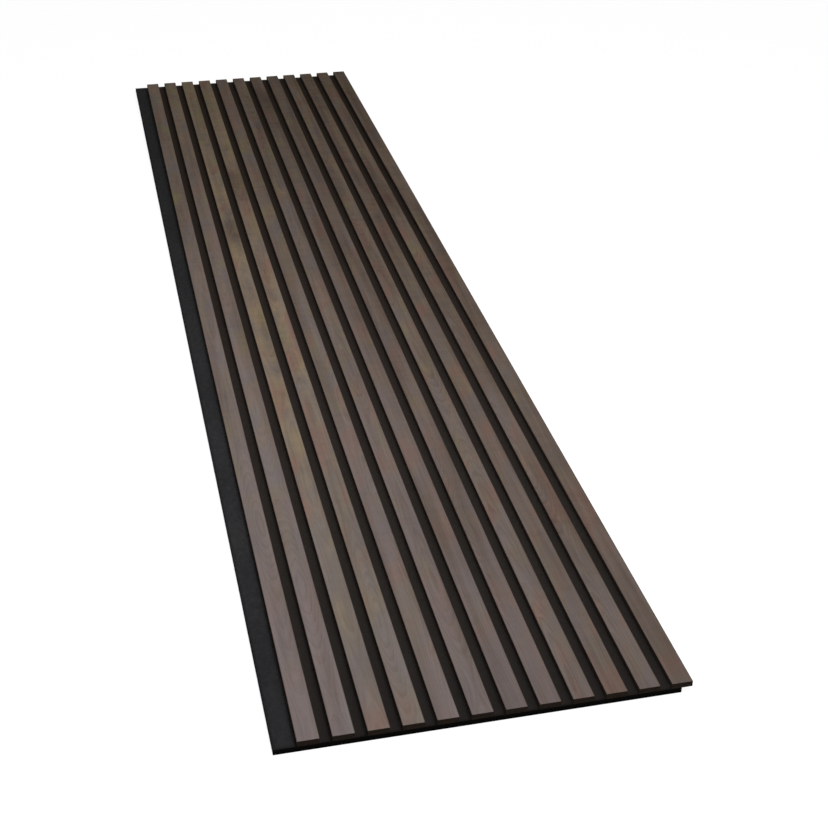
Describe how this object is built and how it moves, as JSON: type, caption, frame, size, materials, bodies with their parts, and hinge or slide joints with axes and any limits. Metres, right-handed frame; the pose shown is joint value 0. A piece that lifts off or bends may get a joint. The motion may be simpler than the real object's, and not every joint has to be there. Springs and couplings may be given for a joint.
{
  "type": "acoustic slat wall panel",
  "caption": "Tall acoustic wall panel: parallel dark veneered slats stapled to a black felt sheet, with a bare felt ledge on one side and an overhanging slat on the other for lapping.",
  "frame": {"origin": "middle of the bounding box's bottom face: under the panel's centre, on the plane of the felt's back, which lies on the floor or against the wall", "axes": "+Y along the slats, from the end nearest the viewer in the picture to the far end; +Z out of the felt towards the slats' faces; +X across the slats, from the bare felt ledge to the overhanging slat"},
  "size_m": [0.616, 2.78, 0.019],
  "materials": {
    "felt": "needled black polyester felt, matt",
    "slat_core": "black-dyed fibreboard, sawn, matt",
    "slat_veneer": "smoked dark veneer, fine straight grain, matt lacquer",
    "staple_wire": "galvanised flat wire"
  },
  "bodies": {
    "root": {"felt_backing": "felt", "slat_core_01": "slat_core", "slat_core_02": "slat_core", "slat_core_03": "slat_core", "slat_core_04": "slat_core", "slat_core_05": "slat_core", "slat_core_06": "slat_core", "slat_core_07": "slat_core", "slat_core_08": "slat_core", "slat_core_09": "slat_core", "slat_core_10": "slat_core", "slat_core_11": "slat_core", "slat_core_12": "slat_core", "slat_veneer_01": "slat_veneer", "slat_veneer_02": "slat_veneer", "slat_veneer_03": "slat_veneer", "slat_veneer_04": "slat_veneer", "slat_veneer_05": "slat_veneer", "slat_veneer_06": "slat_veneer", "slat_veneer_07": "slat_veneer", "slat_veneer_08": "slat_veneer", "slat_veneer_09": "slat_veneer", "slat_veneer_10": "slat_veneer", "slat_veneer_11": "slat_veneer", "slat_veneer_12": "slat_veneer", "back_staples": "staple_wire"}
  },
  "joints": []
}
